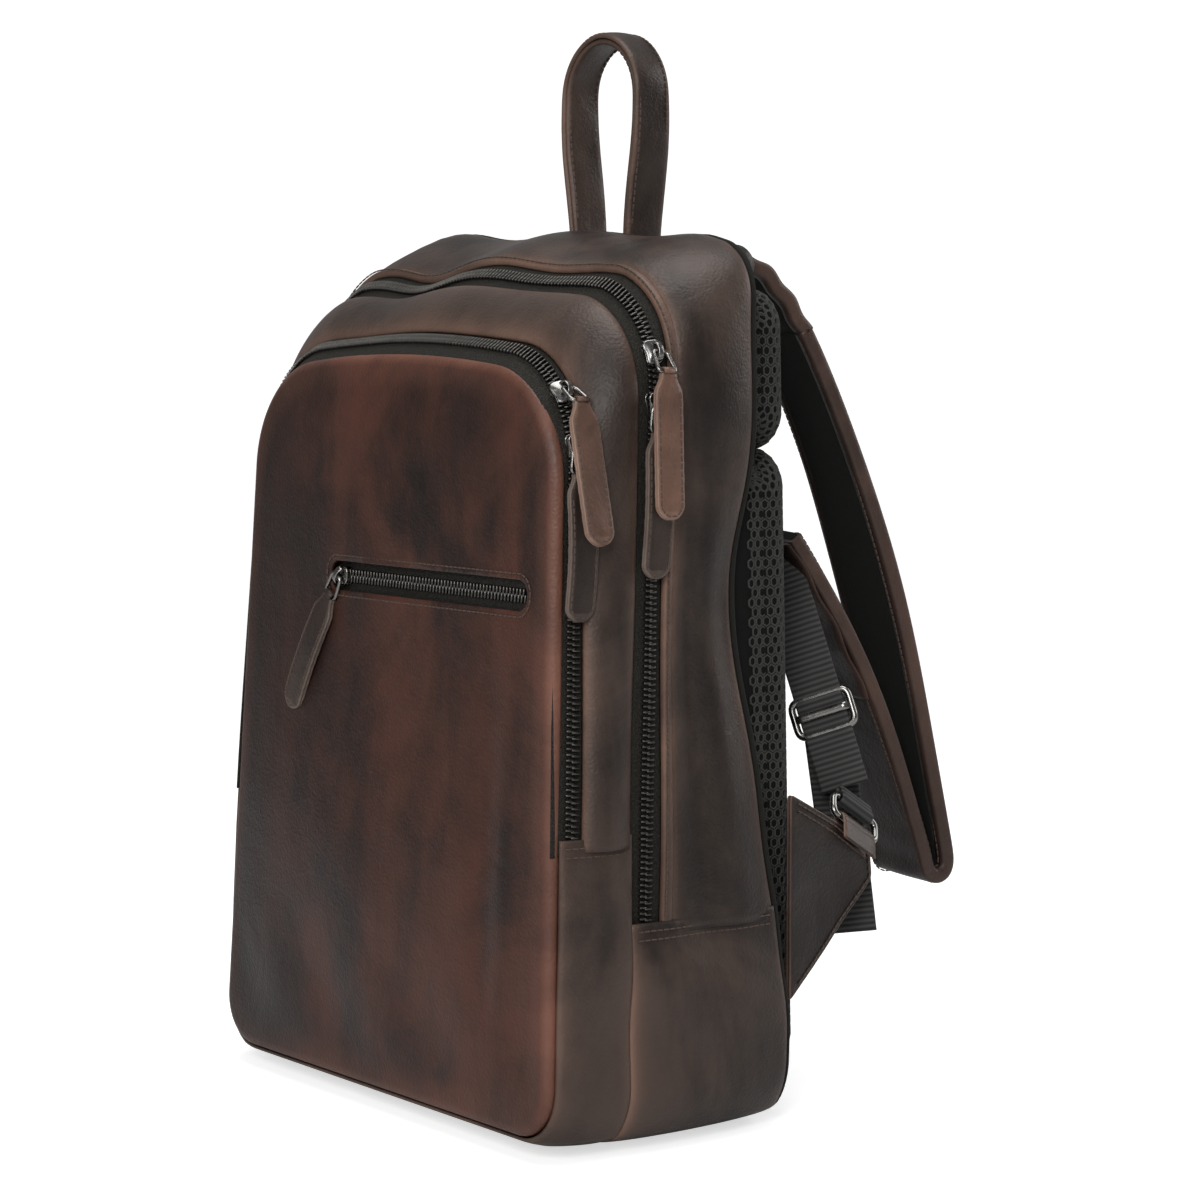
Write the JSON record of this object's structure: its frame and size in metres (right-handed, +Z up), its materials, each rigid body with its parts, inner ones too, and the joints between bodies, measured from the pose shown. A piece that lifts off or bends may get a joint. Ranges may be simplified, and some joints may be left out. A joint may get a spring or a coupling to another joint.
{
  "type": "leather backpack",
  "caption": "Upright soft leather backpack with a zipped front pocket, a long main zip over the top, a loop handle and two padded shoulder straps.",
  "frame": {"origin": "underside of the base, at the middle of its width and near the middle of its depth", "axes": "+Z up from the base to the handle, -Y toward the front pocket, +Y toward the wearer's back, +X toward the wearer's right"},
  "size_m": [0.3151, 0.2992, 0.547],
  "materials": {
    "panel_leather": "waxed, marbled reddish brown",
    "side_leather": "waxed dark brown",
    "pull_leather": "waxed mid brown",
    "zip_tape": "woven",
    "zip_metal": "gunmetal",
    "fitting_metal": "polished gunmetal",
    "lining": "matte",
    "air_mesh": "open mesh",
    "webbing": "ribbed"
  },
  "bodies": {
    "bag": {"front_panel": "panel_leather", "window_zip_tape": "zip_tape", "window_zip_teeth": "zip_metal", "window_pouch": "lining", "pocket_zip_tape": "zip_tape", "pocket_zip_teeth": "zip_metal", "middle_gusset": "side_leather", "front_base": "side_leather", "main_zip_tape": "zip_tape", "main_zip_teeth": "zip_metal", "main_zip_binding": "side_leather", "rear_gusset": "side_leather", "rear_base": "side_leather", "pocket_divider": "lining", "back_board": "lining", "back_pad_lower": "air_mesh", "back_pad_upper": "air_mesh", "back_yoke": "side_leather", "strap_root_right": "side_leather", "strap_root_lining_right": "lining", "side_tab_right": "side_leather", "ring_loop_right": "side_leather", "strap_root_left": "side_leather", "strap_root_lining_left": "lining", "side_tab_left": "side_leather", "ring_loop_left": "side_leather"},
    "handle": {"handle_outer": "side_leather", "handle_lining": "side_leather"},
    "strap_right": {"strap_leather_right": "side_leather", "strap_lining_right": "lining", "strap_end_right": "side_leather", "webbing_right": "webbing"},
    "adjuster_right": {"adjuster_right": "fitting_metal", "webbing_tail_right": "webbing"},
    "ring_right": {"ring_right": "fitting_metal", "webbing_fold_right": "webbing"},
    "strap_left": {"strap_leather_left": "side_leather", "strap_lining_left": "lining", "strap_end_left": "side_leather", "webbing_left": "webbing"},
    "adjuster_left": {"adjuster_left": "fitting_metal", "webbing_tail_left": "webbing"},
    "ring_left": {"ring_left": "fitting_metal", "webbing_fold_left": "webbing"},
    "main_upper_slider": {"main_upper_slider": "fitting_metal"},
    "main_upper_link": {"main_upper_link": "fitting_metal"},
    "main_upper_pull": {"main_upper_pull": "pull_leather"},
    "main_lower_slider": {"main_lower_slider": "fitting_metal"},
    "main_lower_link": {"main_lower_link": "fitting_metal"},
    "main_lower_pull": {"main_lower_pull": "pull_leather"},
    "pocket_upper_slider": {"pocket_upper_slider": "fitting_metal"},
    "pocket_upper_link": {"pocket_upper_link": "fitting_metal"},
    "pocket_upper_pull": {"pocket_upper_pull": "pull_leather"},
    "pocket_lower_slider": {"pocket_lower_slider": "fitting_metal"},
    "pocket_lower_link": {"pocket_lower_link": "fitting_metal"},
    "pocket_lower_pull": {"pocket_lower_pull": "pull_leather"},
    "window_slider": {"window_slider": "fitting_metal"},
    "window_link": {"window_link": "fitting_metal"},
    "window_pull": {"window_pull": "pull_leather"}
  },
  "joints": [
    {"name": "handle_fold", "type": "hinge", "parent": "bag", "child": "handle", "pos_m": [0, 0.084, 0.447], "axis": [1, 0, 0], "range_deg": [-90, 60]},
    {"name": "strap_swing_right", "type": "hinge", "parent": "bag", "child": "strap_right", "pos_m": [0.078, 0.111, 0.414], "axis": [0.2184, 0.0717, -0.9732], "range_deg": [-13, 70]},
    {"name": "adjuster_slide_right", "type": "slide", "parent": "strap_right", "child": "adjuster_right", "axis": [-0.3712, -0.0636, 0.9264], "range_m": [-0.008, 0.045]},
    {"name": "ring_turn_right", "type": "hinge", "parent": "bag", "child": "ring_right", "pos_m": [0.1425, 0.127, 0.1435], "axis": [-0.02, 0.841, -0.5406], "range_deg": [-15, 15]},
    {"name": "strap_swing_left", "type": "hinge", "parent": "bag", "child": "strap_left", "pos_m": [-0.078, 0.111, 0.414], "axis": [0.2184, -0.0717, 0.9732], "range_deg": [-13, 70]},
    {"name": "adjuster_slide_left", "type": "slide", "parent": "strap_left", "child": "adjuster_left", "axis": [0.3712, -0.0636, 0.9264], "range_m": [-0.008, 0.045]},
    {"name": "ring_turn_left", "type": "hinge", "parent": "bag", "child": "ring_left", "pos_m": [-0.1425, 0.127, 0.1435], "axis": [0.02, 0.841, -0.5406], "range_deg": [-15, 15]},
    {"name": "main_upper_travel", "type": "hinge", "parent": "bag", "child": "main_upper_slider", "pos_m": [0.0975, -0.00446, 0.36721], "axis": [0, -0.9995, 0.0314], "range_deg": [0, 60]},
    {"name": "pocket_upper_travel", "type": "hinge", "parent": "bag", "child": "pocket_upper_slider", "pos_m": [0.07834, -0.04457, 0.32693], "axis": [0, -0.9989, 0.0459], "range_deg": [0, 40]},
    {"name": "main_lower_travel", "type": "slide", "parent": "bag", "child": "main_lower_slider", "axis": [0.0194, -0.0314, -0.9993], "range_m": [0, 0.231]},
    {"name": "pocket_lower_travel", "type": "slide", "parent": "bag", "child": "pocket_lower_slider", "axis": [0.0445, -0.0459, -0.998], "range_m": [0, 0.166]},
    {"name": "window_travel", "type": "slide", "parent": "bag", "child": "window_slider", "axis": [1, 0, 0], "range_m": [0, 0.15]},
    {"name": "main_upper_link_lift", "type": "hinge", "parent": "main_upper_slider", "child": "main_upper_link", "pos_m": [0.14933, -0.00393, 0.38404], "axis": [0, -0.9995, 0.0314], "range_deg": [0, 95]},
    {"name": "main_upper_pull_fold", "type": "hinge", "parent": "main_upper_link", "child": "main_upper_pull", "pos_m": [0.15621, -0.00424, 0.37422], "axis": [0, -0.9995, 0.0314], "range_deg": [0, 70]},
    {"name": "main_lower_link_lift", "type": "hinge", "parent": "main_lower_slider", "child": "main_lower_link", "pos_m": [0.15108, -0.00475, 0.35811], "axis": [0, -0.9995, 0.0314], "range_deg": [0, 85.5]},
    {"name": "main_lower_pull_fold", "type": "hinge", "parent": "main_lower_link", "child": "main_lower_pull", "pos_m": [0.15108, -0.00512, 0.34611], "axis": [0, -0.9995, 0.0314], "range_deg": [0, 63]},
    {"name": "pocket_upper_link_lift", "type": "hinge", "parent": "pocket_upper_slider", "child": "pocket_upper_link", "pos_m": [0.12948, -0.04273, 0.36684], "axis": [0, -0.9989, 0.0459], "range_deg": [0, 80]},
    {"name": "pocket_upper_pull_fold", "type": "hinge", "parent": "pocket_upper_link", "child": "pocket_upper_pull", "pos_m": [0.13987, -0.04301, 0.36085], "axis": [0, -0.9989, 0.0459], "range_deg": [0, 90]},
    {"name": "pocket_lower_link_lift", "type": "hinge", "parent": "pocket_lower_slider", "child": "pocket_lower_link", "pos_m": [0.14117, -0.044, 0.33924], "axis": [0, -0.9989, 0.0459], "range_deg": [0, 72]},
    {"name": "pocket_lower_pull_fold", "type": "hinge", "parent": "pocket_lower_link", "child": "pocket_lower_pull", "pos_m": [0.14159, -0.04455, 0.32726], "axis": [0, -0.9989, 0.0459], "range_deg": [0, 81]},
    {"name": "window_link_lift", "type": "hinge", "parent": "window_slider", "child": "window_link", "pos_m": [-0.043, -0.06165, 0.26836], "axis": [-0.867, 0.0235, 0.4977], "range_deg": [0, 90]},
    {"name": "window_pull_fold", "type": "hinge", "parent": "window_link", "child": "window_pull", "pos_m": [-0.04898, -0.06214, 0.25796], "axis": [-0.867, 0.0235, 0.4977], "range_deg": [0, 75]}
  ],
  "couplings": [
    {"joint": "main_lower_link_lift", "follows": "main_upper_link_lift", "ratio": 0.9},
    {"joint": "main_lower_pull_fold", "follows": "main_upper_pull_fold", "ratio": 0.9},
    {"joint": "pocket_lower_link_lift", "follows": "pocket_upper_link_lift", "ratio": 0.9},
    {"joint": "pocket_lower_pull_fold", "follows": "pocket_upper_pull_fold", "ratio": 0.9}
  ]
}
